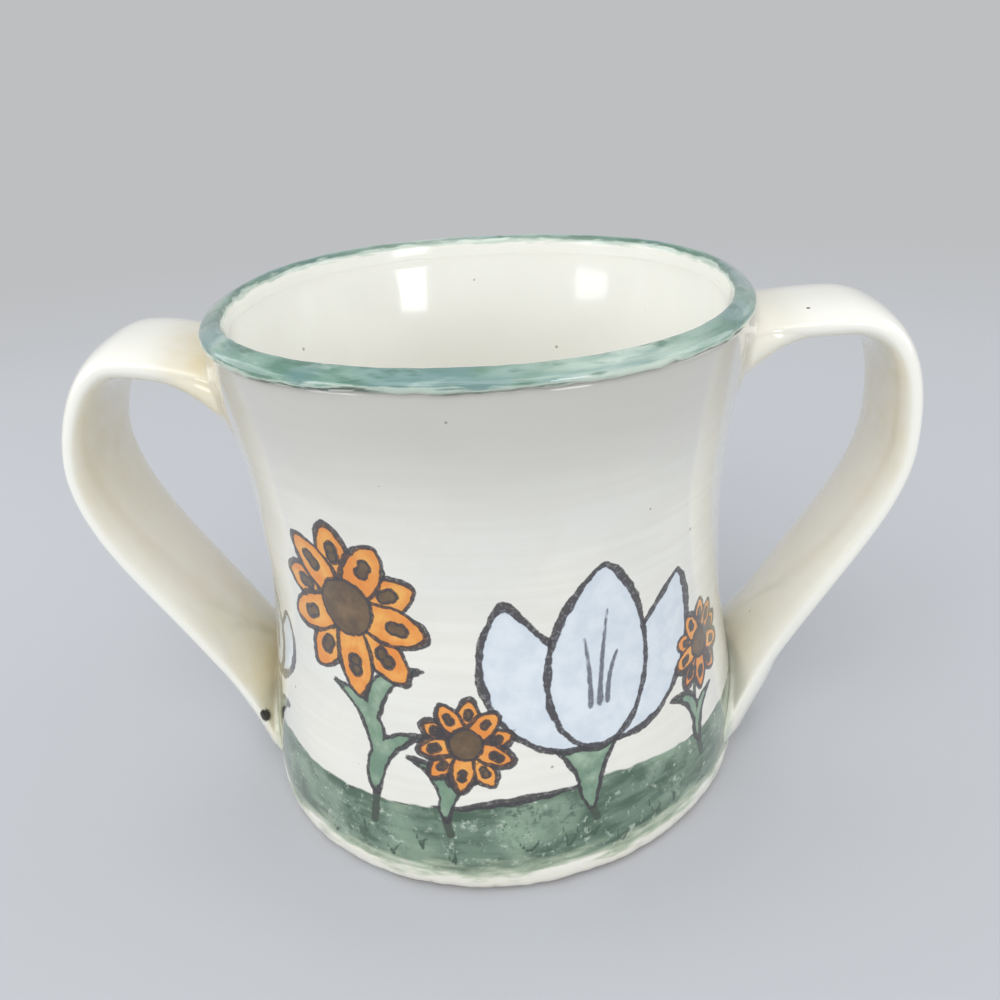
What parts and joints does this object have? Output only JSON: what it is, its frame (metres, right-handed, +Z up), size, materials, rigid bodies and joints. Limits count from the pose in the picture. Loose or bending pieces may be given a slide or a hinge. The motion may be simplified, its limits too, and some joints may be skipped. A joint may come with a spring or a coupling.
{
  "type": "two-handled mug",
  "caption": "Hand-made glazed pottery mug with a waisted body, a flared green lip, a painted foot band and a strap handle on each side.",
  "frame": {"origin": "centre of the flat underside, on the surface that the mug stands on", "axes": "+Z up out of the mouth, the handles lie along X, and the painted front faces -Y"},
  "size_m": [0.1461, 0.0942, 0.09],
  "materials": {
    "painted_glaze": "glossy clear glaze over cream clay, with brushed underglaze painting",
    "handle_glaze": "glossy cream glaze, yellower where it pools",
    "inside_glaze": "glossy cream glaze",
    "lip_glaze": "glossy glaze over mottled green brushwork",
    "foot_glaze": "thin wiped glaze over cream clay, bare underneath"
  },
  "bodies": {
    "root": {"foot_slab": "foot_glaze", "wall": "painted_glaze", "lip": "lip_glaze", "floor_coil": "inside_glaze", "handle_left": "handle_glaze", "upper_joint_left": "handle_glaze", "lower_joint_left": "handle_glaze", "handle_right": "handle_glaze", "upper_joint_right": "handle_glaze", "lower_joint_right": "handle_glaze"}
  },
  "joints": []
}
